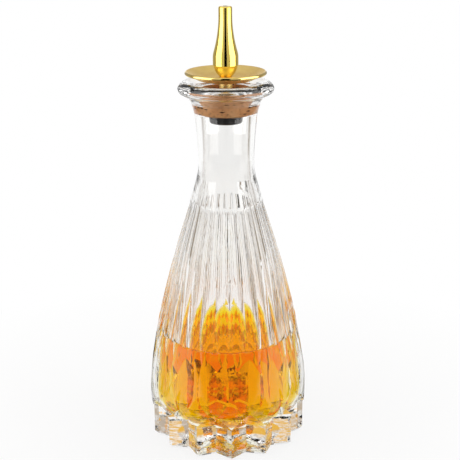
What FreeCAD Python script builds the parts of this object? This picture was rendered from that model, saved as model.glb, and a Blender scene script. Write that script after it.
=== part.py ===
import FreeCAD, Part
import math
import os

from FreeCAD import Vector

# A fluted clear glass bitters bottle, half full, closed by a cork that carries
# a gold-plated dasher. Millimetres, +Z up, origin in the middle of the foot.

# Cut pattern round the axis
TEETH = 14                 # points of the star foot
FLUTES = 2 * TEETH         # flutes, one each side of every tooth ridge
PITCH = 360.0 / TEETH
FLUTE_PITCH = 360.0 / FLUTES

# Outside of the glass before cutting, from the belly up to the collar
BELLY_R = 36.8
BELLY_TOP = 26.0
KNEE_BACK, KNEE_RISE = 1.1, 12.5
SHOULDER_R, SHOULDER_RISE = 17.1, 73.0
NAPE_R, NAPE_RISE = 13.3, 13.3
WAIST_R, WAIST_RISE = 12.5, 8.2
COLLAR_OUT, COLLAR_RISE = 1.7, 20.5

# Flared lip, measured out from the collar and up from it
FLARE_OUT, FLARE_RISE = 1.3, 4.6
LIP_OUT, LIP_RISE = 7.0, 11.6          # widest ring
LIP_UNDER_BACK, LIP_UNDER_DROP = 1.2, 2.8
CREST_BACK, CREST_RISE = 1.6, 1.9
MOUTH_BACK, MOUTH_DROP = 4.0, 0.7      # inner side of the crest
MOUTH_LEAN = 0.5                       # outward start of the funnel

# Hollow of the bottle
FLOOR_Z = 8.0
FLOOR_ROUND = 12.0
WALL_BELLY = 12.3
CHAMBER_KNEE_RISE = 10.0   # inner knee above the top of the belly
CHAMBER_KNEE_SOFT = 8.0
WALL_MID = 5.0
CHAMBER_MID_RISE = 41.5    # inner shoulder above the outer knee
CHAMBER_MID_SOFT = 12.0
WALL_WAIST = 2.9
CHAMBER_WAIST_DROP = 5.0   # inner waist below the outer one
CHAMBER_WAIST_SOFT = 12.0
LEVEL_Z = 48.3             # surface of the bitters
FILL_GAP = 0.05            # between the glass and the bitters

# Star foot
TIP_BACK = 0.6             # tooth ridges inside the belly
TOOTH_DEPTH = 5.3
GROOVE_FULL_Z = 15.0       # full depth up to here
GROOVE_RUN = 7.8           # then it runs out on the belly
FOOT_BEVEL = 1.4
FOOT_BACK = 1.63           # the ground foot inside the tooth ridges
KICK_R, KICK_DEPTH = 23.0, 1.4

# Petal facets above the star
CREASE_RISE = 9.0          # above the top of the belly
CREASE_CUT = 1.2           # depth of the crease in the belly
PETAL_OUT = 0.57           # outside the fluted side where the petal ends
PETAL_RISE = 31.0
PETAL_DROP = 13.2          # from the crease to the lower point

# Flutes
FLUTE_TOOL = 7.0           # radius of the round tool
FLUTE_START = 3.5          # above the knee
FLUTE_FADE = 24.0          # length over which the flute sinks in
FLUTE_LIFT = 0.4           # tool outside the glass where it starts
FLUTE_OVER = 1.7           # past the shoulder
RIDGE_FLAT = 0.35          # land left between two flutes

# Cork
CORK_SINK = 0.1            # cork bottom under the collar
CORK_H = 11.0
CORK_R0 = 10.2
CORK_R1 = 11.8
CORK_ROUND = 0.9
SEAT_H = 5.0               # height of the throat that grips the cork
SEAT_GAP = 0.05

# Hollow stem
STEM_R = 1.7
STEM_BORE = 1.0
STEM_IN_BOWL = 3.0
STEM_RUN = 0.05            # running gap in the cork

# Nut under the cork
NUT_R0 = 7.66
NUT_R1 = 7.1
NUT_H = 3.8
NUT_ROUND = 1.0

# Dished cover on its hub
HUB_R, HUB_H = 3.0, 3.4
DISC_R = 18.1
DISC_T = 1.6
DISH_FLAT_R = 9.0
DISH_TURN_R, DISH_TURN_RISE = 13.6, 1.15
DISH_RISE = 2.6
FIT = 0.02                 # between fixed metal parts

# Spout
BOWL_H = 5.3
BOWL_R = 5.4
BOWL_FOOT_R = 2.5
BOWL_SWELL = 0.55          # how far the bowl bulges out
BOWL_WALL = 0.9
SPIGOT_BACK, SPIGOT_H = 0.8, 2.6
SHELL_OUT = 0.25           # nozzle skirt past the bowl
SHELL_H = 3.1
SHELL_TURN_IN, SHELL_TURN_RISE = 0.4, 2.8
SHELL_WAIST_R, SHELL_WAIST_RISE = 4.3, 3.7
TUBE_R = 3.0
SPOUT_H = 25.3
SPOUT_ROUND = 0.8
ORIFICE_R, ORIFICE_L = 1.1, 3.0
BORE_R, BORE_TAPER = 1.9, 0.8
SPIGOT_END_GAP = 0.1

# Heights and radii that follow
KNEE_R = BELLY_R - KNEE_BACK
COLLAR_R = WAIST_R + COLLAR_OUT
LIP_R = COLLAR_R + LIP_OUT
TIP_R = BELLY_R - TIP_BACK
NOTCH_R = TIP_R - TOOTH_DEPTH
CREASE_D = BELLY_R - CREASE_CUT
CREASE_Z = BELLY_TOP + CREASE_RISE
KNEE_Z = BELLY_TOP + KNEE_RISE
SHOULDER_Z = KNEE_Z + SHOULDER_RISE
NAPE_Z = SHOULDER_Z + NAPE_RISE
WAIST_Z = NAPE_Z + WAIST_RISE
COLLAR_Z = WAIST_Z + COLLAR_RISE
LIP_Z = COLLAR_Z + LIP_RISE
CHAMBER_KNEE_Z = BELLY_TOP + CHAMBER_KNEE_RISE
CHAMBER_MID_Z = KNEE_Z + CHAMBER_MID_RISE
CHAMBER_WAIST_Z = WAIST_Z - CHAMBER_WAIST_DROP
FLUTE_TOP = SHOULDER_Z + FLUTE_OVER
CORK_BOTTOM = COLLAR_Z - CORK_SINK
CORK_TOP = CORK_BOTTOM + CORK_H
SEAT_TOP = CORK_BOTTOM + SEAT_H
DISC_UNDER = CORK_TOP + HUB_H
DISC_FLOOR = DISC_UNDER + DISC_T
STEM_BOTTOM = CORK_BOTTOM - NUT_H
STEM_TOP = DISC_FLOOR + STEM_IN_BOWL
SEAM_Z = DISC_FLOOR + BOWL_H
SPIGOT_R = BOWL_R - SPIGOT_BACK
SPIGOT_TOP = SEAM_Z + SPIGOT_H
CUP_R = SPIGOT_R - BOWL_WALL
SHELL_R = BOWL_R + SHELL_OUT
SPOUT_TOP = SEAM_Z + SPOUT_H
CLEAR = 5.0                # how far cutting tools reach past the glass


def rz(r, z):
    """A point of a profile in the XZ plane."""
    return Vector(r, 0.0, z)


def line(a, b):
    return Part.LineSegment(a, b).toShape()


def path(points):
    """Straight edges through the points."""
    return [line(a, b) for a, b in zip(points, points[1:])]


def bend(start, heading, end):
    """An arc that leaves along a heading, with the heading it arrives with."""
    along = Vector(heading).normalize()
    chord = end - start
    length = chord.Length
    mean = along + chord / length
    middle = start + mean * (length / mean.dot(mean))
    arrival = chord * (2.0 * along.dot(chord) / (length * length)) - along
    if abs(along.cross(chord).Length) < 1e-7 * length:
        return line(start, end), arrival
    return Part.Arc(start, middle, end).toShape(), arrival


def bends(points, heading):
    """Arcs that run smoothly into each other through the points."""
    edges = []
    for start, end in zip(points, points[1:]):
        edge, heading = bend(start, heading, end)
        edges.append(edge)
    return edges, heading


def rounded(points, softness):
    """Straight edges with their inner corners rounded, each over its own length."""
    edges = []
    last = points[0]
    for before, corner, after, length in zip(points, points[1:], points[2:], softness):
        heading = (corner - before).normalize()
        start = corner - heading * length
        end = corner + (after - corner).normalize() * length
        edges += [line(last, start), bend(start, heading, end)[0]]
        last = end
    return edges + [line(last, points[-1])]


def revolve(edges):
    solid = Part.Face(Part.Wire(edges)).revolve(Vector(0, 0, 0), Vector(0, 0, 1), 360)
    return Part.Solid(solid) if solid.ShapeType != "Solid" else solid


def turned(shape, deg):
    copy = shape.copy()
    copy.rotate(Vector(0, 0, 0), Vector(0, 0, 1), deg)
    return copy


def ring_of(shape, count, first):
    return [turned(shape, first + 360.0 * k / count) for k in range(count)]


def side_edges():
    """Outside of the shoulder and neck, from the belly to the collar."""
    return bends([
        rz(BELLY_R, BELLY_TOP), rz(KNEE_R, KNEE_Z), rz(SHOULDER_R, SHOULDER_Z),
        rz(NAPE_R, NAPE_Z), rz(WAIST_R, WAIST_Z), rz(COLLAR_R, COLLAR_Z),
    ], Vector(0, 0, 1))


def lip_edges(heading):
    """From the collar over the flared lip to the inner side of its crest."""
    crest = rz(LIP_R - CREST_BACK, LIP_Z + CREST_RISE)
    return bends([
        rz(COLLAR_R, COLLAR_Z), rz(COLLAR_R + FLARE_OUT, COLLAR_Z + FLARE_RISE),
        rz(LIP_R - LIP_UNDER_BACK, LIP_Z - LIP_UNDER_DROP), rz(LIP_R, LIP_Z), crest,
        crest - Vector(MOUTH_BACK, 0, MOUTH_DROP),
    ], heading)[0]


def radius_at(edges, z):
    """Radius of the outside at a height."""
    for edge in edges:
        low, high = edge.FirstParameter, edge.LastParameter
        if edge.valueAt(low).z > edge.valueAt(high).z:
            low, high = high, low
        if edge.valueAt(low).z <= z <= edge.valueAt(high).z:
            for _ in range(50):
                middle = 0.5 * (low + high)
                if edge.valueAt(middle).z < z:
                    low = middle
                else:
                    high = middle
            return edge.valueAt(low).x


def cork_radius(z):
    return CORK_R0 + (CORK_R1 - CORK_R0) * (z - CORK_BOTTOM) / CORK_H


def chamber_edges(inset):
    """Profile of the hollow from the middle of its floor to the cork seat."""
    wall = BELLY_R - WALL_BELLY - inset
    middle = radius_at(side_edges()[0], CHAMBER_MID_Z) - WALL_MID - inset
    return rounded([
        rz(0, FLOOR_Z + inset), rz(wall, FLOOR_Z + inset), rz(wall, CHAMBER_KNEE_Z),
        rz(middle, CHAMBER_MID_Z), rz(WAIST_R - WALL_WAIST - inset, CHAMBER_WAIST_Z),
        rz(CORK_R0 + SEAT_GAP - inset, CORK_BOTTOM),
    ], [FLOOR_ROUND - inset, CHAMBER_KNEE_SOFT, CHAMBER_MID_SOFT, CHAMBER_WAIST_SOFT])


def glass_blank():
    """The turned glass with its hollow, before it is cut."""
    side, heading = side_edges()
    lip = lip_edges(heading)
    mouth = rz(LIP_R - CREST_BACK - MOUTH_BACK, LIP_Z + CREST_RISE - MOUTH_DROP)
    seat0 = rz(CORK_R0 + SEAT_GAP, CORK_BOTTOM)
    seat1 = rz(cork_radius(SEAT_TOP) + SEAT_GAP, SEAT_TOP)
    funnel = bend(seat1, Vector(MOUTH_LEAN, 0, 1), mouth)[0]
    foot = path([rz(0, FLOOR_Z), rz(0, 0), rz(BELLY_R, 0), rz(BELLY_R, BELLY_TOP)])
    return revolve(foot + side + lip + [funnel, line(seat1, seat0)] + chamber_edges(0.0)[::-1])


def flute_center(side, z):
    """Where the middle of the tool runs, so that a thin land stays beside the flute."""
    r = radius_at(side, z)
    half = math.radians(0.5 * FLUTE_PITCH) - 0.5 * RIDGE_FLAT / r
    sink = math.sqrt(FLUTE_TOOL ** 2 - (r * math.sin(half)) ** 2)
    return rz(r * math.cos(half) + sink, z)


def flute_cutter():
    """One flute along +X: a round tool that follows the side and lifts out below."""
    side = side_edges()[0]
    out_z = KNEE_Z + FLUTE_START
    low_z = out_z + FLUTE_FADE
    top, bottom = flute_center(side, FLUTE_TOP), flute_center(side, low_z)
    along = Part.Arc(top, flute_center(side, 0.5 * (low_z + FLUTE_TOP)), bottom)
    leave = rz(radius_at(side, out_z) + FLUTE_TOOL + FLUTE_LIFT, out_z)
    lift = bend(bottom, along.tangent(along.LastParameter)[0], leave)[0]
    start = along.tangent(along.FirstParameter)[0]
    ring = Part.Wire([Part.Circle(top, start, FLUTE_TOOL).toShape()])
    shaft = Part.Wire([along.toShape(), lift]).makePipeShell([ring], True, True)
    return shaft.fuse(Part.makeSphere(FLUTE_TOOL, top))


def petal_cutter():
    """One petal along +X: flat above the crease, flat below it, ending in a point."""
    outer = BELLY_R + 2.0 * CLEAR
    half = 2.0 * BELLY_R * math.sin(math.radians(0.5 * PITCH))
    low_lean = CREASE_CUT / PETAL_DROP
    top = CREASE_Z + PETAL_RISE
    below = CREASE_Z - PETAL_DROP - CLEAR
    profile = [
        rz(radius_at(side_edges()[0], top) + PETAL_OUT, top), rz(CREASE_D, CREASE_Z),
        rz(BELLY_R + low_lean * CLEAR, below), rz(outer, below), rz(outer, top),
    ]
    face = Part.Face(Part.makePolygon(profile + profile[:1]))
    face.translate(Vector(0, -half, 0))
    return face.extrude(Vector(0, 2.0 * half, 0))


def groove_cutter():
    """One V groove along +X: upright between the teeth, then running out."""
    half = math.radians(0.5 * PITCH)
    flank = Vector(TIP_R * math.cos(half) - NOTCH_R, TIP_R * math.sin(half), 0)
    other = Vector(flank.x, -flank.y, 0)
    reach = 2.2

    def section(shift, z):
        apex = Vector(NOTCH_R + shift, 0, z)
        return Part.makePolygon([apex, apex + flank * reach, apex + other * reach, apex])

    run = (BELLY_R - NOTCH_R) / GROOVE_RUN
    rise = GROOVE_RUN + CLEAR
    upright = Part.makeLoft([section(0, -CLEAR), section(0, GROOVE_FULL_Z)], True, True)
    slope = [section(0, GROOVE_FULL_Z), section(run * rise, GROOVE_FULL_Z + rise)]
    return upright.fuse(Part.makeLoft(slope, True, True))


def foot_envelope():
    """What the bevelled foot lies in: a star that opens upward, then open space."""
    def star(back, z):
        points = []
        for k in range(FLUTES):
            r = (TIP_R if k % 2 == 0 else NOTCH_R) * (1.0 - back / TIP_R)
            a = math.radians(k * FLUTE_PITCH - 90.0)
            points.append(Vector(r * math.cos(a), r * math.sin(a), z))
        return Part.makePolygon(points + points[:1])

    past = 0.6
    star_part = Part.makeLoft([
        star(FOOT_BACK, 0.0), star(-past * FOOT_BACK, (1.0 + past) * FOOT_BEVEL),
    ], True, True)
    above = Part.makeCylinder(
        2.0 * BELLY_R, SPOUT_TOP, Vector(0, 0, (1.0 + past) * FOOT_BEVEL))
    return star_part.fuse(above)


def kick():
    """Shallow hollow under the foot."""
    ball = (KICK_R ** 2 + KICK_DEPTH ** 2) / (2.0 * KICK_DEPTH)
    return Part.makeSphere(ball, Vector(0, 0, KICK_DEPTH - ball))


def glass_bottle():
    valley = -90.0 + 0.5 * PITCH
    glass = glass_blank()
    glass = glass.cut(ring_of(flute_cutter(), FLUTES, -90.0 + 0.5 * FLUTE_PITCH))
    glass = glass.cut(ring_of(petal_cutter(), TEETH, valley))
    glass = glass.cut(ring_of(groove_cutter(), TEETH, valley))
    return glass.common(foot_envelope()).cut(kick())


def inside_of_glass(inset):
    """The space in the bottle under the cork, as a solid."""
    edges = chamber_edges(inset)
    top = rz(0, CORK_BOTTOM)
    last = rz(CORK_R0 + SEAT_GAP - inset, CORK_BOTTOM)
    return revolve(edges + path([last, top, rz(0, FLOOR_Z + inset)]))


def bitters_liquid():
    """The fill, up to its level, a hair inside the glass."""
    return inside_of_glass(FILL_GAP).common(Part.makeCylinder(BELLY_R, LEVEL_Z))


def cork_sleeve():
    """Tapered cork with rounded ends and the hole for the stem."""
    hole = STEM_R + STEM_RUN
    low = rz(cork_radius(CORK_BOTTOM + CORK_ROUND), CORK_BOTTOM + CORK_ROUND)
    high = rz(cork_radius(CORK_TOP - CORK_ROUND), CORK_TOP - CORK_ROUND)
    under = rz(CORK_R0 - CORK_ROUND, CORK_BOTTOM)
    over = rz(CORK_R1 - CORK_ROUND, CORK_TOP)
    return revolve([
        line(rz(hole, CORK_BOTTOM), under),
        bend(under, Vector(1, 0, 0), low)[0],
        line(low, high),
        bend(high, high - low, over)[0],
    ] + path([over, rz(hole, CORK_TOP), rz(hole, CORK_BOTTOM)]))


def stem_tube():
    height = STEM_TOP - STEM_BOTTOM
    tube = Part.makeCylinder(STEM_R, height, Vector(0, 0, STEM_BOTTOM))
    return tube.cut(Part.makeCylinder(STEM_BORE, height, Vector(0, 0, STEM_BOTTOM)))


def retaining_nut():
    """Round nut that holds the cork on the stem from below."""
    hole = STEM_R + FIT
    lean = (NUT_R0 - NUT_R1) / NUT_H
    side = rz(NUT_R1 + lean * NUT_ROUND, STEM_BOTTOM + NUT_ROUND)
    under = rz(NUT_R1 - NUT_ROUND, STEM_BOTTOM)
    return revolve([
        line(rz(hole, STEM_BOTTOM), under),
        bend(under, Vector(1, 0, 0), side)[0],
    ] + path([side, rz(NUT_R0, CORK_BOTTOM), rz(hole, CORK_BOTTOM), rz(hole, STEM_BOTTOM)]))


def cover_disc():
    """Shallow dish with a rounded rim, on a hub that stands on the cork."""
    hole = STEM_R + FIT
    rim_r = DISC_R - 0.5 * DISC_T
    rise = [
        rz(DISH_FLAT_R, DISC_FLOOR), rz(DISH_TURN_R, DISC_FLOOR + DISH_TURN_RISE),
        rz(rim_r, DISC_FLOOR + DISH_RISE),
    ]
    under = [point - Vector(0, 0, DISC_T) for point in rise]
    upper, heading = bends(rise, Vector(1, 0, 0))
    lower = bends(under, Vector(1, 0, 0))[0]
    tip = rz(DISC_R, DISC_FLOOR + DISH_RISE - 0.5 * DISC_T)
    rim = Part.Arc(rise[2], tip, under[2]).toShape()
    hub = path([
        under[0], rz(HUB_R, DISC_UNDER), rz(HUB_R, CORK_TOP), rz(hole, CORK_TOP),
        rz(hole, DISC_FLOOR), rise[0],
    ])
    return revolve(upper + [rim] + lower[::-1] + hub)


def spout_base():
    """Bowl on the dish, with a spigot that carries the nozzle."""
    hole = STEM_R + FIT
    foot, brim = rz(BOWL_FOOT_R, DISC_FLOOR), rz(BOWL_R, SEAM_Z)
    out = Vector(BOWL_H, 0, BOWL_FOOT_R - BOWL_R).normalize()
    belly = (foot + brim) * 0.5 + out * BOWL_SWELL
    cone_top = STEM_TOP + CUP_R - hole
    return revolve([
        line(rz(hole, DISC_FLOOR), foot),
        Part.Arc(foot, belly, brim).toShape(),
    ] + path([
        brim, rz(SPIGOT_R, SEAM_Z), rz(SPIGOT_R, SPIGOT_TOP), rz(CUP_R, SPIGOT_TOP),
        rz(CUP_R, cone_top), rz(hole, STEM_TOP), rz(hole, DISC_FLOOR),
    ]))


def spout_nozzle():
    """Tall shell that narrows to a tube with a small dash hole."""
    skirt = SPIGOT_R + FIT
    ledge = SPIGOT_TOP + SPIGOT_END_GAP
    start = rz(SHELL_R, SEAM_Z + SHELL_H)
    turn = start + Vector(-SHELL_TURN_IN, 0, SHELL_TURN_RISE)
    waist = rz(SHELL_WAIST_R, turn.z + SHELL_WAIST_RISE)
    outer, heading = bends([start, turn, waist], Vector(0, 0, 1))
    lean = math.atan2(-heading.x, heading.z)
    tube = rz(TUBE_R, waist.z + (SHELL_WAIST_R - TUBE_R) / math.tan(0.5 * lean))
    outer.append(bend(waist, heading, tube)[0])
    side = rz(TUBE_R, SPOUT_TOP - SPOUT_ROUND)
    crown = rz(TUBE_R - SPOUT_ROUND, SPOUT_TOP)
    throat = SPOUT_TOP - ORIFICE_L
    inner = path([
        crown, rz(ORIFICE_R, SPOUT_TOP), rz(ORIFICE_R, throat),
        rz(BORE_R, throat - BORE_TAPER), rz(BORE_R, waist.z),
        rz(CUP_R, ledge), rz(skirt, ledge), rz(skirt, SEAM_Z), rz(SHELL_R, SEAM_Z), start,
    ])
    return revolve(outer + [line(tube, side), bend(side, Vector(0, 0, 1), crown)[0]] + inner)


NODES = {
    "glass_bottle": glass_bottle,
    "bitters_liquid": bitters_liquid,
    "cork_sleeve": cork_sleeve,
    "stem_tube": stem_tube,
    "retaining_nut": retaining_nut,
    "cover_disc": cover_disc,
    "spout_base": spout_base,
    "spout_nozzle": spout_nozzle,
}

os.makedirs("parts", exist_ok=True)
for name, make in NODES.items():
    shape = make()
    print(name, shape.isValid(), len(shape.Solids), len(shape.Faces), round(shape.Volume, 1))
    shape.exportStep("parts/" + name + ".step")
print("room under the cork, ml", round(inside_of_glass(0.0).Volume / 1000.0, 1))
print("overall height", round(SPOUT_TOP, 2))
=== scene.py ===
import math

import bpy
from mathutils import Matrix, Vector


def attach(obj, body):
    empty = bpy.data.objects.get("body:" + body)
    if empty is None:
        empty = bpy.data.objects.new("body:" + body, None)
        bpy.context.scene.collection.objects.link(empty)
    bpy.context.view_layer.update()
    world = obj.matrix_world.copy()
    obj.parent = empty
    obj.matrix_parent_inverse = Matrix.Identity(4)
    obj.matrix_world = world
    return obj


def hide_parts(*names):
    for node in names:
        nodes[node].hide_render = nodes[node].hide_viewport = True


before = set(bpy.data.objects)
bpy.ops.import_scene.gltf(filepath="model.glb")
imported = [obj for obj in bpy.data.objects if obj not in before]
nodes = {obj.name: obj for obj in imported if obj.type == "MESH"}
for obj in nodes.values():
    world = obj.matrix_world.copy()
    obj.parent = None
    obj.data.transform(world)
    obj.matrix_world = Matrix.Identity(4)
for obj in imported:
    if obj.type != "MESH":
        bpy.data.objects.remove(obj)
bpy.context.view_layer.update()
scene = bpy.context.scene

# Lengths are in metres. A noise is given as its scale and detail, and the cork's grain
# has a roughness too. A bump is given as its strength and depth. An edge is the pair of
# values between which one look gives way to the next. A name that ends in CLEAR is the
# look for rays that come through the glass.

# Camera, from the outline measured in the photograph, with its angles in radians
IMAGE_PX = 460
CAMERA_AZIMUTH = math.radians(-2.5)
CAMERA_ROLL = -0.0067
CAMERA_DISTANCE = 0.47004
CAMERA_HEIGHT = 0.25031
CAMERA_AIM_Z = 0.09871
CAMERA_FOCAL_PX = 1075.4
CAMERA_CENTRE_PX = 226.72
SENSOR_MM = 36.0
CLIP_NEAR = 0.01
CLIP_FAR = 50.0
MAX_BOUNCES = 32
GLOSSY_BOUNCES = 8

# Bitters and cork, turned from the rows of their solids and pressed a hair into the glass
TURN_STEPS = 192
ROW_STEP = 0.0006
ROW_DIGITS = 5
LIQUID_OVERLAP = 0.00015
SINK_HEIGHT = 0.012
BOTTOM_RING = 0.6
RIM_TAPER = 0.0005
MENISCUS = 0.00006
MENISCUS_REACH = 0.0026
MENISCUS_STEPS = 8
LEVEL_RING = 0.5
CORK_OVERLAP = 0.00014
CORK_GRIP = 0.0050

WHITE = (1.0, 1.0, 1.0, 1.0)

# Clear glass: soft waves on its sides and a pressed skin on its foot
GLASS = (0.985, 0.983, 0.975, 1.0)
GLASS_IOR = 1.51
GLASS_WAVE = (55.0, 2.0)
GLASS_WAVE_SCALE = (1.0, 1.0, 0.4)
PRESSED_SKIN = (220.0, 2.0)
PRESSED_SHARE = 3.0
PRESSED_EDGE = (0.014, 0.020)
GLASS_BUMP = (0.05, 0.0006)

# Bitters: amber by absorption alone, with a faint ripple
BITTERS_IOR = 1.36
BITTERS_TINT = (0.998, 0.93, 0.0, 1.0)
BITTERS_DENSITY = 300.0
BITTERS_RIPPLE = (40.0, 1.0)
BITTERS_BUMP = (0.02, 0.0004)

# Cork: cloudy tones, long pores and fine dark specks
CORK_TONES = [
    (0.30, (0.60, 0.245, 0.085, 1.0)),
    (0.50, (0.72, 0.340, 0.135, 1.0)),
    (0.70, (0.82, 0.440, 0.205, 1.0)),
]
CORK_DARK = (0.050, 0.015, 0.005, 1.0)
CORK_GRAIN = (900.0, 5.0, 0.7)
CORK_CLOUD = (160.0, 3.0)
PORE_CELLS = 420.0
PORE_SCALE = (0.55, 0.55, 1.5)
PORE_EDGE = (0.18, 0.32)
PORE_PICK = (260.0, 1.0)
PORE_PICK_EDGE = (0.42, 0.48)
SPECK_SHARE = 0.5
SPECK_EDGE = (0.33, 0.45)
CORK_ROUGHNESS = 0.8
CORK_BUMP = (0.5, 0.0004)

# Gold plate: polished on the spout and stem, brushed in rings on the dish
GOLD = (0.94, 0.71, 0.18, 1.0)
GOLD_DEEP = (0.92, 0.68, 0.15, 1.0)
GOLD_CLOUD = (90.0, 4.0)
GOLD_EDGE = (0.35, 0.65)
GOLD_ROUGHNESS = (0.05, 0.10)
TURNING_MARKS = (1.0, 2.0)
TURNING_SCALE = (20.0, 20.0, 4000.0)
TURNING_BUMP = (0.03, 0.0001)
BRUSHED = (0.88, 0.67, 0.25, 1.0)
BRUSHED_DEEP = (0.82, 0.60, 0.19, 1.0)
BRUSH_RINGS = (5200.0, 4.0)
BRUSH_CLOUD = (130.0, 4.0)
BRUSH_EDGE = (0.14, 0.36)
BRUSH_ROUGHNESS = 0.42
RIM_ROUGHNESS = 0.10
RIM_EDGE = (0.0170, 0.0176)
BRUSH_BUMP = (0.10, 0.0002)

# Nut: glossy black
NUT_TONES = [(0.3, (0.006, 0.005, 0.005, 1.0)), (0.7, (0.016, 0.014, 0.013, 1.0))]
NUT_CLOUD = (200.0, 4.0)
NUT_ROUGHNESS = (0.12, 0.25)

# Small cards round the spout: angle from the front and half the width in degrees,
# height of the lower edge, brightness
CARD_DISTANCE = 0.08
CARD_TOP = 0.25
CARDS = {
    "black_front": (-2.5, 11.5, 0.132, 0.0),
    "dim_left": (-25.5, 11.5, 0.145, 0.60),
    "dim_right": (20.5, 11.5, 0.145, 0.60),
    "soft_left": (-67.0, 28.0, 0.132, 3.0),
    "soft_right": (64.0, 28.0, 0.132, 3.0),
    "grey_left": (-131.0, 25.0, 0.150, 0.42),
    "grey_right": (131.0, 25.0, 0.150, 0.42),
}

# Floor, and how the camera sees it: white, with a faint shadow near the bottle
FLOOR_FRONT = -0.40
FLOOR_BACK = 2.0
FLOOR_SIDE = 0.42
FLOOR_Z = -0.0002
FLOOR_TONES = [(0.3, (0.88, 0.88, 0.88, 1.0)), (0.7, (0.91, 0.91, 0.91, 1.0))]
FLOOR_CLOUD = (3.0, 3.0)
FLOOR_ROUGHNESS = 0.9
FLOOR_GLOW = 0.85
SHADOW_EDGE = (0.05, 0.20)

# Floor as bent rays see it, painted for the glass to show: dark bands by the distance
# across over BAND_HALF, painted to draw the dark lines of the flutes, and a painted amber
# shadow and caustic of the bottle close behind it
BROWN = (0.16, 0.10, 0.05, 1.0)
BLACK = (0.01, 0.01, 0.01, 1.0)
# Painted amber shadow and caustic of the bottle on the floor
PAINTED_CAUSTIC = (1.0, 0.55, 0.05, 1.0)
BAND_HALF = 0.20
# Dark bands painted on the floor for bent rays only, which show as the dark lines of the flutes
BANDS_LEFT = [
    (0.265, WHITE), (0.275, BROWN), (0.31, BROWN), (0.32, WHITE),
    (0.43, WHITE), (0.44, BROWN), (0.52, BROWN), (0.53, WHITE),
    (0.66, WHITE), (0.68, BROWN), (0.76, BROWN), (0.78, WHITE),
]
BANDS_RIGHT = [
    (0.27, WHITE), (0.28, BROWN), (0.31, BROWN), (0.32, WHITE),
    (0.42, WHITE), (0.43, BLACK), (0.57, BLACK), (0.58, WHITE),
    (0.66, WHITE), (0.68, BROWN), (0.76, BROWN), (0.78, WHITE),
]
MIDDLE_EDGE = (-0.002, 0.002)
BANDS_NEAR_EDGE = (0.01, 0.035)
BANDS_FAR_EDGE = (0.32, 0.37)
# Where the painted amber shadow and caustic lies behind the bottle
CAUSTIC_NEAR_EDGE = (0.055, 0.060)
CAUSTIC_FAR_EDGE = (0.074, 0.084)
CAUSTIC_SIDE_EDGE = (0.15, 0.25)

# Brightness of the floor for bent rays: dark in front, and dark round the bottle
# for mirrored rays
FLOOR_DARK = 0.03
FRONT_EDGE = (-0.055, -0.036)
NEAR_CLEAR = 0.08
FAR_CLEAR = 0.28
CLEAR_EDGE = (-0.30, -0.22)
MIRROR_EDGE = (0.30, 0.38)

# Room, by the direction of a ray: back along y, up along z
FRONT_GLOW = (0.05, 0.045, 0.04, 1.0)
FRONT_CLEAR = (0.28, 0.27, 0.26, 1.0)
SIDE_GLOW = (0.30, 0.25, 0.19, 1.0)
UPPER_GLOW = (0.55, 0.46, 0.36, 1.0)
# Painted amber glint in the upper middle for rays through the glass, seen in the foot
PAINTED_GLINT_CLEAR = (0.88, 0.50, 0.08, 1.0)
CEILING_DIM = (0.45, 0.42, 0.38, 1.0)
CEILING_TONES = [(0.44, CEILING_DIM), (0.54, WHITE)]
CEILING_CLOTH = (30.0, 2.0)
SIDE_EDGE = (-0.7, -0.2)
BACK_EDGE = (0.45, 0.70)
UPPER_EDGE = (0.20, 0.28)
# Where the painted amber glint fades out to the sides
PAINTED_GLINT_EDGE = (0.30, 0.45)
CEILING_EDGE = (0.44, 0.52)
SOFTBOX_BACK_EDGE = (-0.15, -0.05)
SOFTBOX_LOW_EDGE = (0.27, 0.33)


def node(tree, kind, **inputs):
    """A shader node with its input values set by name."""
    made = tree.nodes.new(kind)
    for key, value in inputs.items():
        made.inputs[key.replace("_", " ")].default_value = value
    return made


def new_material(name):
    """A material with its node tree and main shader."""
    material = bpy.data.materials.new(name)
    material.use_nodes = True
    tree = material.node_tree
    return material, tree, tree.nodes["Principled BSDF"]


def object_coords(tree, scale=(1.0, 1.0, 1.0)):
    """Places in the piece's own frame, scaled along each axis."""
    coords = tree.nodes.new("ShaderNodeTexCoord")
    mapping = tree.nodes.new("ShaderNodeMapping")
    mapping.inputs["Scale"].default_value = scale
    tree.links.new(coords.outputs["Object"], mapping.inputs["Vector"])
    return mapping.outputs["Vector"]


def axes(tree, vector):
    """The X, Y and Z of a vector."""
    made = tree.nodes.new("ShaderNodeSeparateXYZ")
    tree.links.new(vector, made.inputs["Vector"])
    return made.outputs


def axis_distance(tree):
    """Distance from the bottle's axis, with the height scaled away."""
    made = tree.nodes.new("ShaderNodeVectorMath")
    made.operation = "LENGTH"
    tree.links.new(object_coords(tree, (1.0, 1.0, 0.0)), made.inputs[0])
    return made.outputs["Value"]


def noise(tree, vector, scale, detail, roughness=0.5):
    """Noise in space."""
    made = node(tree, "ShaderNodeTexNoise", Scale=scale, Detail=detail, Roughness=roughness)
    tree.links.new(vector, made.inputs["Vector"])
    return made.outputs["Fac"]


def line_noise(tree, value, scale, detail):
    """Noise along one value, for rings."""
    made = node(tree, "ShaderNodeTexNoise", Scale=scale, Detail=detail)
    made.noise_dimensions = "1D"
    tree.links.new(value, made.inputs["W"])
    return made.outputs["Fac"]


def ramp(tree, factor, stops):
    """A colour picked by a factor from (place, colour) stops."""
    made = tree.nodes.new("ShaderNodeValToRGB")
    elements = made.color_ramp.elements
    while len(elements) < len(stops):
        elements.new(0.5)
    for element, (place, colour) in zip(elements, stops):
        element.position = place
        element.color = colour
    tree.links.new(factor, made.inputs["Fac"])
    return made.outputs["Color"]


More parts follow.
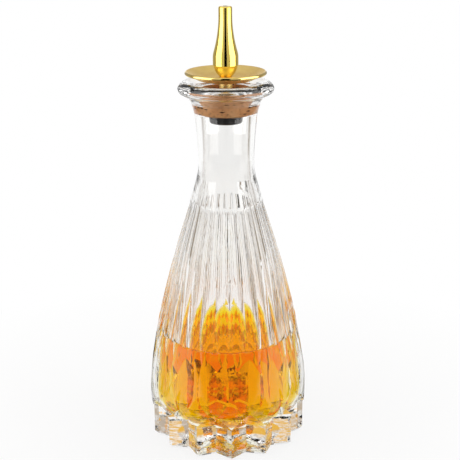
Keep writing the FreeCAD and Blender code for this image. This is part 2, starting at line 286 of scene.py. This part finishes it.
def span(tree, value, low, high, start=0.0, end=1.0):
    """A value between start and end brought into the range from low to high."""
    made = tree.nodes.new("ShaderNodeMapRange")
    made.inputs["From Min"].default_value = start
    made.inputs["From Max"].default_value = end
    made.inputs["To Min"].default_value = low
    made.inputs["To Max"].default_value = high
    tree.links.new(value, made.inputs["Value"])
    return made.outputs["Result"]


def rise(tree, value, edge):
    """0 before an edge and 1 after it."""
    return span(tree, value, 0.0, 1.0, *edge)


def fall(tree, value, edge):
    """1 before an edge and 0 after it."""
    return span(tree, value, 1.0, 0.0, *edge)


def maths(tree, operation, first, second=0.0):
    """One step of arithmetic on two values, each a number or a socket."""
    made = tree.nodes.new("ShaderNodeMath")
    made.operation = operation
    for socket, value in zip(made.inputs, (first, second)):
        if isinstance(value, float):
            socket.default_value = value
        else:
            tree.links.new(value, socket)
    return made.outputs[0]


def blend(tree, factor, first, second):
    """Two colours mixed by a factor."""
    made = tree.nodes.new("ShaderNodeMix")
    made.data_type = "RGBA"
    tree.links.new(factor, made.inputs["Factor"])
    for name, value in (("A", first), ("B", second)):
        socket = [s for s in made.inputs if s.name == name and s.type == "RGBA"][0]
        if isinstance(value, tuple):
            socket.default_value = value
        else:
            tree.links.new(value, socket)
    return [s for s in made.outputs if s.type == "RGBA"][0]


def bump(tree, height, shader, strength, distance):
    """A height turned into a bumpy surface."""
    made = node(tree, "ShaderNodeBump", Strength=strength, Distance=distance)
    tree.links.new(height, made.inputs["Height"])
    tree.links.new(made.outputs["Normal"], shader.inputs["Normal"])


def make_clear(shader, colour, ior):
    """A shader that lets light through without blur."""
    shader.inputs["Base Color"].default_value = colour
    shader.inputs["Transmission Weight"].default_value = 1.0
    shader.inputs["IOR"].default_value = ior
    shader.inputs["Roughness"].default_value = 0.0


def glass_material():
    """Clear glass, a little wavy, with a rougher skin on the foot."""
    material, tree, shader = new_material("clear_glass")
    make_clear(shader, GLASS, GLASS_IOR)
    wave = noise(tree, object_coords(tree, GLASS_WAVE_SCALE), *GLASS_WAVE)
    height = axes(tree, object_coords(tree))["Z"]
    foot = span(tree, height, PRESSED_SHARE, 0.0, *PRESSED_EDGE)
    skin = noise(tree, object_coords(tree), *PRESSED_SKIN)
    pressed = maths(tree, "MULTIPLY", skin, foot)
    bump(tree, maths(tree, "ADD", wave, pressed), shader, *GLASS_BUMP)
    return material


def liquid_material():
    """Clear liquid that is amber where light goes through enough of it."""
    material, tree, shader = new_material("bitters")
    make_clear(shader, WHITE, BITTERS_IOR)
    volume = node(tree, "ShaderNodeVolumeAbsorption", Color=BITTERS_TINT, Density=BITTERS_DENSITY)
    tree.links.new(volume.outputs["Volume"], tree.nodes["Material Output"].inputs["Volume"])
    ripple = noise(tree, object_coords(tree), *BITTERS_RIPPLE)
    bump(tree, ripple, shader, *BITTERS_BUMP)
    return material


def cork_material():
    """Natural cork with dark pores and specks."""
    material, tree, shader = new_material("cork")
    vector = object_coords(tree)
    grain = noise(tree, vector, *CORK_GRAIN)
    cloud = noise(tree, vector, *CORK_CLOUD)
    tone = ramp(tree, cloud, CORK_TONES)
    pores = node(tree, "ShaderNodeTexVoronoi", Scale=PORE_CELLS, Randomness=1.0)
    tree.links.new(object_coords(tree, PORE_SCALE), pores.inputs["Vector"])
    pit = fall(tree, pores.outputs["Distance"], PORE_EDGE)
    pick = rise(tree, noise(tree, vector, *PORE_PICK), PORE_PICK_EDGE)
    pit = maths(tree, "MULTIPLY", pit, pick)
    speck = span(tree, grain, SPECK_SHARE, 0.0, *SPECK_EDGE)
    dark = maths(tree, "MAXIMUM", pit, speck)
    tree.links.new(blend(tree, dark, tone, CORK_DARK), shader.inputs["Base Color"])
    shader.inputs["Roughness"].default_value = CORK_ROUGHNESS
    bump(tree, maths(tree, "SUBTRACT", grain, dark), shader, *CORK_BUMP)
    return material


def gold_material():
    """Polished gold plate with fine turning marks."""
    material, tree, shader = new_material("gold_plate")
    cloud = noise(tree, object_coords(tree), *GOLD_CLOUD)
    colour = blend(tree, rise(tree, cloud, GOLD_EDGE), GOLD, GOLD_DEEP)
    tree.links.new(colour, shader.inputs["Base Color"])
    shader.inputs["Metallic"].default_value = 1.0
    tree.links.new(span(tree, cloud, *GOLD_ROUGHNESS), shader.inputs["Roughness"])
    marks = noise(tree, object_coords(tree, TURNING_SCALE), *TURNING_MARKS)
    bump(tree, marks, shader, *TURNING_BUMP)
    return material


def brushed_material():
    """Gold plate brushed in rings, polished at the rim."""
    material, tree, shader = new_material("gold_brushed")
    radius = axis_distance(tree)
    rings = line_noise(tree, radius, *BRUSH_RINGS)
    cloud = noise(tree, object_coords(tree), *BRUSH_CLOUD)
    shade = maths(tree, "MULTIPLY", rings, cloud)
    colour = blend(tree, rise(tree, shade, BRUSH_EDGE), BRUSHED_DEEP, BRUSHED)
    tree.links.new(colour, shader.inputs["Base Color"])
    shader.inputs["Metallic"].default_value = 1.0
    roughness = span(tree, radius, BRUSH_ROUGHNESS, RIM_ROUGHNESS, *RIM_EDGE)
    tree.links.new(roughness, shader.inputs["Roughness"])
    bump(tree, rings, shader, *BRUSH_BUMP)
    return material


def nut_material():
    """Glossy black with a faint cloud."""
    material, tree, shader = new_material("black_nut")
    cloud = noise(tree, object_coords(tree), *NUT_CLOUD)
    tree.links.new(ramp(tree, cloud, NUT_TONES), shader.inputs["Base Color"])
    tree.links.new(span(tree, cloud, *NUT_ROUGHNESS), shader.inputs["Roughness"])
    return material


def make_smooth(mesh):
    """Smooth shading on every face."""
    for polygon in mesh.polygons:
        polygon.use_smooth = True


def dress(name, material):
    """A CAD node with one material, shaded smooth."""
    piece = nodes[name]
    piece.data.materials.clear()
    piece.data.materials.append(material)
    make_smooth(piece.data)


def outer_rows(name):
    """Heights and largest radii of a turned CAD node, read from its own mesh."""
    rows = {}
    for vertex in nodes[name].data.vertices:
        key = round(vertex.co.z, ROW_DIGITS)
        rows[key] = max(rows.get(key, 0.0), math.hypot(vertex.co.x, vertex.co.y))
    return sorted(rows.items())


def thinned(rows, step):
    """Rows that are further apart than a step, with the first and the last."""
    kept = rows[:1]
    for z, r in rows[1:-1]:
        if math.hypot(z - kept[-1][0], r - kept[-1][1]) > step:
            kept.append((z, r))
    return kept + rows[-1:]


def turned_mesh(name, profile, material, body, stands_for):
    """A closed turned piece from (radius, height) pairs; a radius of 0 is on the axis."""
    verts, rings = [], []
    for r, z in profile:
        if r == 0.0:
            rings.append([len(verts)] * TURN_STEPS)
            verts.append((0.0, 0.0, z))
            continue
        rings.append(list(range(len(verts), len(verts) + TURN_STEPS)))
        for k in range(TURN_STEPS):
            a = 2.0 * math.pi * k / TURN_STEPS
            verts.append((r * math.cos(a), r * math.sin(a), z))
    pairs = list(zip(rings, rings[1:]))
    starts_on_axis = profile[0][0] == 0.0
    if not starts_on_axis:
        pairs.append((rings[-1], rings[0]))
    faces = []
    for low, high in pairs:
        for k in range(TURN_STEPS):
            j = (k + 1) % TURN_STEPS
            corners = [low[k], low[j], high[j], high[k]]
            faces.append([v for i, v in enumerate(corners) if v not in corners[:i]])
    mesh = bpy.data.meshes.new(name)
    mesh.from_pydata(verts, [], faces)
    make_smooth(mesh)
    mesh.materials.append(material)
    made = bpy.data.objects.new(name, mesh)
    scene.collection.objects.link(made)
    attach(made, body)
    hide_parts(stands_for)


def fill_profile():
    """The fill, pressed a hair into the glass, with a small meniscus."""
    rows = thinned(outer_rows("bitters_liquid"), ROW_STEP)
    bottom, bottom_radius = rows[0]
    level, rim = rows[-1]
    sunk = bottom - LIQUID_OVERLAP
    profile = [(0.0, sunk), (BOTTOM_RING * bottom_radius, sunk)]
    for z, r in rows[:-1]:
        if z < level - RIM_TAPER:
            sink = LIQUID_OVERLAP * max(0.0, 1.0 - (z - bottom) / SINK_HEIGHT)
            profile.append((r + LIQUID_OVERLAP, z - sink))
    profile.append((rim + LIQUID_OVERLAP, level - RIM_TAPER))
    profile.append((rim, level))
    for k in range(1, MENISCUS_STEPS + 1):
        t = k / MENISCUS_STEPS
        drop = MENISCUS * (1.0 - (1.0 - t) ** 2)
        profile.append((rim - MENISCUS_REACH * t, level - drop))
    profile.append((LEVEL_RING * rim, level - MENISCUS))
    profile.append((0.0, level - MENISCUS))
    return profile


def cork_profile():
    """The cork, squeezed into the throat along its grip."""
    rows = outer_rows("cork_sleeve")
    bottom, top = rows[0][0], rows[-1][0]
    hole = min(math.hypot(v.co.x, v.co.y) for v in nodes["cork_sleeve"].data.vertices)
    grip_end = bottom + CORK_GRIP
    rows = [(z, r + CORK_OVERLAP if z < grip_end else r) for z, r in rows]
    side = []
    for (z0, r0), (z1, r1) in zip(rows, rows[1:]):
        count = max(1, int((z1 - z0) / ROW_STEP))
        for k in range(count):
            side.append((z0 + (z1 - z0) * k / count, r0 + (r1 - r0) * k / count))
    side.append(rows[-1])
    return [(hole, bottom)] + [(r, z) for z, r in side] + [(hole, top)]


def emission_material(name, strength):
    """A plain white glow."""
    material = bpy.data.materials.new(name)
    material.use_nodes = True
    tree = material.node_tree
    tree.nodes.clear()
    output = tree.nodes.new("ShaderNodeOutputMaterial")
    glow = node(tree, "ShaderNodeEmission", Strength=strength)
    tree.links.new(glow.outputs["Emission"], output.inputs["Surface"])
    return material


def stage_mesh(name, corners, material):
    """One flat face of the studio."""
    mesh = bpy.data.meshes.new(name)
    mesh.from_pydata(corners, [], [tuple(range(len(corners)))])
    mesh.materials.append(material)
    made = bpy.data.objects.new(name, mesh)
    scene.collection.objects.link(made)
    return made


def card(name, angle, half, low, strength):
    """An upright glowing card that faces the axis, hidden from the camera."""
    a = math.radians(angle)
    half_width = CARD_DISTANCE * math.tan(math.radians(half))
    foot = Vector((math.sin(a), -math.cos(a), 0.0)) * CARD_DISTANCE
    side = Vector((math.cos(a), math.sin(a), 0.0)) * half_width
    corners = []
    for across, z in ((-1, low), (1, low), (1, CARD_TOP), (-1, CARD_TOP)):
        corners.append(tuple(foot + across * side + Vector((0.0, 0.0, z))))
    made = stage_mesh(name, corners, emission_material(name, strength))
    made.visible_camera = False


def floor_colour(tree, x, y):
    """Painted bands and a painted amber shadow and caustic that bent rays see on the floor."""
    aside = maths(tree, "DIVIDE", maths(tree, "ABSOLUTE", x), BAND_HALF)
    right = rise(tree, x, MIDDLE_EDGE)
    colour = blend(tree, right, ramp(tree, aside, BANDS_LEFT), ramp(tree, aside, BANDS_RIGHT))
    colour = blend(tree, rise(tree, y, BANDS_FAR_EDGE), colour, WHITE)
    colour = blend(tree, fall(tree, y, BANDS_NEAR_EDGE), colour, WHITE)
    # A painted amber shadow and caustic of the bottle, close behind it
    begun = rise(tree, y, CAUSTIC_NEAR_EDGE)
    caustic = maths(tree, "MULTIPLY", begun, fall(tree, y, CAUSTIC_FAR_EDGE))
    caustic = maths(tree, "MULTIPLY", caustic, fall(tree, aside, CAUSTIC_SIDE_EDGE))
    return blend(tree, caustic, colour, PAINTED_CAUSTIC)


def floor_brightness(tree, y, through):
    """How bright the floor is for bent rays, which come through the glass or are mirrored."""
    lit = span(tree, y, FLOOR_DARK, 1.0, *FRONT_EDGE)
    clear = span(tree, y, FAR_CLEAR, NEAR_CLEAR, *CLEAR_EDGE)
    lit = maths(tree, "MAXIMUM", lit, maths(tree, "MULTIPLY", through, clear))
    mirrored = span(tree, axis_distance(tree), FLOOR_DARK, 1.0, *MIRROR_EDGE)
    return maths(tree, "MINIMUM", lit, maths(tree, "MAXIMUM", mirrored, through))


def floor_material():
    """White to the camera; for rays bent by glass or metal, painted bands, a painted amber shadow
    and caustic, and a dark front.
    """
    material, tree, shader = new_material("pale_floor")
    cloud = noise(tree, object_coords(tree), *FLOOR_CLOUD)
    tree.links.new(ramp(tree, cloud, FLOOR_TONES), shader.inputs["Base Color"])
    shader.inputs["Roughness"].default_value = FLOOR_ROUGHNESS
    light_path = tree.nodes.new("ShaderNodeLightPath").outputs
    seen, through = light_path["Is Camera Ray"], light_path["Is Transmission Ray"]
    bent = maths(tree, "MAXIMUM", light_path["Is Glossy Ray"], through)
    place = axes(tree, object_coords(tree))
    bands = floor_colour(tree, place["X"], place["Y"])
    lit = floor_brightness(tree, place["Y"], through)
    glow = tree.nodes.new("ShaderNodeEmission")
    tree.links.new(blend(tree, seen, bands, WHITE), glow.inputs["Color"])
    strength = maths(tree, "MAXIMUM", seen, maths(tree, "MULTIPLY", bent, lit))
    tree.links.new(strength, glow.inputs["Strength"])
    mix = tree.nodes.new("ShaderNodeMixShader")
    near = span(tree, axis_distance(tree), FLOOR_GLOW, 1.0, *SHADOW_EDGE)
    share = maths(tree, "MAXIMUM", maths(tree, "MULTIPLY", seen, near), bent)
    tree.links.new(share, mix.inputs["Fac"])
    tree.links.new(shader.outputs["BSDF"], mix.inputs[1])
    tree.links.new(glow.outputs["Emission"], mix.inputs[2])
    tree.links.new(mix.outputs["Shader"], tree.nodes["Material Output"].inputs["Surface"])
    return material


def room():
    """White behind, dim at the sides, dark in front, a mottled ceiling with a softbox
    over the front, and a painted amber glint in the upper middle through the glass. The camera
    sees white."""
    world = bpy.data.worlds.new("studio")
    scene.world = world
    world.use_nodes = True
    tree = world.node_tree
    direction = tree.nodes.new("ShaderNodeTexCoord").outputs["Generated"]
    split = axes(tree, direction)
    across = maths(tree, "ABSOLUTE", split["X"])
    back, up = split["Y"], split["Z"]
    cloth = noise(tree, direction, *CEILING_CLOTH)
    light_path = tree.nodes.new("ShaderNodeLightPath").outputs
    through = light_path["Is Transmission Ray"]
    front = blend(tree, through, FRONT_GLOW, FRONT_CLEAR)
    colour = blend(tree, rise(tree, back, SIDE_EDGE), front, SIDE_GLOW)
    colour = blend(tree, rise(tree, back, BACK_EDGE), colour, WHITE)
    # A painted amber glint in the upper middle for rays through the glass, seen in the foot
    painted_glint = maths(tree, "MULTIPLY", through, fall(tree, across, PAINTED_GLINT_EDGE))
    upper = blend(tree, painted_glint, UPPER_GLOW, PAINTED_GLINT_CLEAR)
    colour = blend(tree, rise(tree, up, UPPER_EDGE), colour, upper)
    ceiling = ramp(tree, cloth, CEILING_TONES)
    colour = blend(tree, rise(tree, up, CEILING_EDGE), colour, ceiling)
    over_front = fall(tree, back, SOFTBOX_BACK_EDGE)
    softbox = maths(tree, "MULTIPLY", over_front, rise(tree, up, SOFTBOX_LOW_EDGE))
    colour = blend(tree, softbox, colour, WHITE)
    colour = blend(tree, light_path["Is Camera Ray"], colour, WHITE)
    tree.links.new(colour, tree.nodes["Background"].inputs["Color"])


def studio():
    """Floor, cards and room."""
    stage_mesh("floor", [
        (-FLOOR_SIDE, FLOOR_FRONT, FLOOR_Z), (FLOOR_SIDE, FLOOR_FRONT, FLOOR_Z),
        (FLOOR_SIDE, FLOOR_BACK, FLOOR_Z), (-FLOOR_SIDE, FLOOR_BACK, FLOOR_Z),
    ], floor_material())
    for name, values in CARDS.items():
        card(name, *values)
    room()


def aim_camera():
    """The camera, in its place and looking at the bottle's axis."""
    data = bpy.data.cameras.new("camera")
    camera = bpy.data.objects.new("camera", data)
    scene.collection.objects.link(camera)
    scene.camera = camera
    data.sensor_width = SENSOR_MM
    data.lens = CAMERA_FOCAL_PX / IMAGE_PX * SENSOR_MM
    data.shift_x = (0.5 * IMAGE_PX - CAMERA_CENTRE_PX) / IMAGE_PX
    data.clip_start = CLIP_NEAR
    data.clip_end = CLIP_FAR
    place = Vector((
        CAMERA_DISTANCE * math.sin(CAMERA_AZIMUTH),
        -CAMERA_DISTANCE * math.cos(CAMERA_AZIMUTH),
        CAMERA_HEIGHT,
    ))
    look = Vector((0.0, 0.0, CAMERA_AIM_Z)) - place
    turn = look.to_track_quat("-Z", "Y").to_matrix().to_4x4()
    roll = Matrix.Rotation(CAMERA_ROLL, 4, "Z")
    camera.matrix_world = Matrix.Translation(place) @ turn @ roll


gold = gold_material()
dress("glass_bottle", glass_material())
dress("stem_tube", gold)
dress("spout_base", gold)
dress("spout_nozzle", gold)
dress("cover_disc", brushed_material())
dress("retaining_nut", nut_material())
turned_mesh("bitters", fill_profile(), liquid_material(), "bottle", "bitters_liquid")
turned_mesh("cork", cork_profile(), cork_material(), "cork", "cork_sleeve")
studio()
aim_camera()

scene.view_settings.view_transform = "Standard"
scene.cycles.max_bounces = MAX_BOUNCES
scene.cycles.transmission_bounces = MAX_BOUNCES
scene.cycles.glossy_bounces = GLOSSY_BOUNCES
